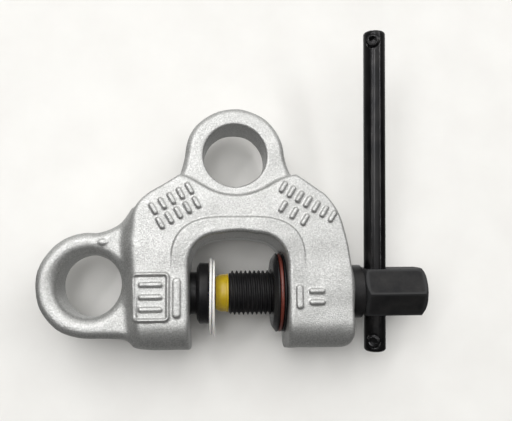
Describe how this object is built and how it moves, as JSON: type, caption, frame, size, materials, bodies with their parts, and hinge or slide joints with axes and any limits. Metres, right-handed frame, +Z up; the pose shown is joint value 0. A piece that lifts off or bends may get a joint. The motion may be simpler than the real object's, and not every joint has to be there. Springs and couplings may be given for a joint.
{
  "type": "screw lifting clamp",
  "caption": "Forged C-frame screw clamp for lifting steel plate, with a top eye, a side eye, a swivel jaw pad and an M20 screw turned by a tommy bar.",
  "frame": {"origin": "centre of the bounding box at its lowest face, with the clamp lying on its back", "axes": "+X along the clamping screw towards the tommy bar, +Y towards the top eye, +Z up out of the face the clamp lies on"},
  "size_m": [0.1734, 0.1468, 0.0418],
  "materials": {
    "silver_paint": "satin aluminium paint over a forged skin",
    "black_steel": "black oxide, lightly oiled",
    "bright_steel": "turned, bright",
    "yellow_plastic": "moulded, satin",
    "white_plastic": "matt sheet",
    "red_rubber": "matt"
  },
  "bodies": {
    "frame_body": {"frame": "silver_paint", "thread_bush": "black_steel", "bush_seal_ring": "red_rubber", "bush_lock_screw": "black_steel", "pad_pin_upper": "bright_steel", "pad_pin_lower": "bright_steel", "pad_spring": "bright_steel"},
    "pad_thrust": {"pad_thrust_washer": "bright_steel"},
    "pad": {"jaw_pad": "black_steel"},
    "disc_a": {"guard_disc_pad_side": "white_plastic"},
    "disc_b": {"guard_disc_tip_side": "white_plastic"},
    "nose": {"tip_nose": "black_steel", "tip_cap": "yellow_plastic"},
    "screw": {"spindle": "black_steel", "stop_collar": "black_steel", "collar_pin": "bright_steel", "tip_retaining_ring": "bright_steel"},
    "bar": {"tommy_bar": "black_steel", "bar_set_screw_lower": "black_steel", "bar_set_screw_upper": "black_steel"}
  },
  "joints": [
    {"name": "pad_press", "type": "slide", "parent": "frame_body", "child": "pad_thrust", "axis": [-1, 0, 0], "range_m": [0, 0.0012], "stiffness_N_per_m": 8000, "deforming": ["pad_spring"]},
    {"name": "pad_spin", "type": "hinge", "parent": "pad_thrust", "child": "pad", "pos_m": [-0.01971, -0.0456, 0.0192], "axis": [1, 0, 0], "continuous": true},
    {"name": "disc_a_out", "type": "slide", "parent": "frame_body", "child": "disc_a", "axis": [0, -1, 0], "range_m": [0, 0.045]},
    {"name": "disc_b_out", "type": "slide", "parent": "frame_body", "child": "disc_b", "axis": [0, -1, 0], "range_m": [0, 0.045]},
    {"name": "screw_travel", "type": "slide", "parent": "frame_body", "child": "nose", "axis": [1, 0, 0], "range_m": [0, 0.0221]},
    {"name": "screw_turn", "type": "hinge", "parent": "nose", "child": "screw", "pos_m": [-0.01971, -0.0456, 0.0192], "axis": [1, 0, 0], "range_deg": [0, 3960]},
    {"name": "bar_slide", "type": "slide", "parent": "screw", "child": "bar", "axis": [0, 0.9903, 0.1392], "range_m": [-0.1005, 0.0084]}
  ],
  "couplings": [
    {"joint": "screw_travel", "follows": "screw_turn", "m_per_rad": 0.00031831}
  ]
}
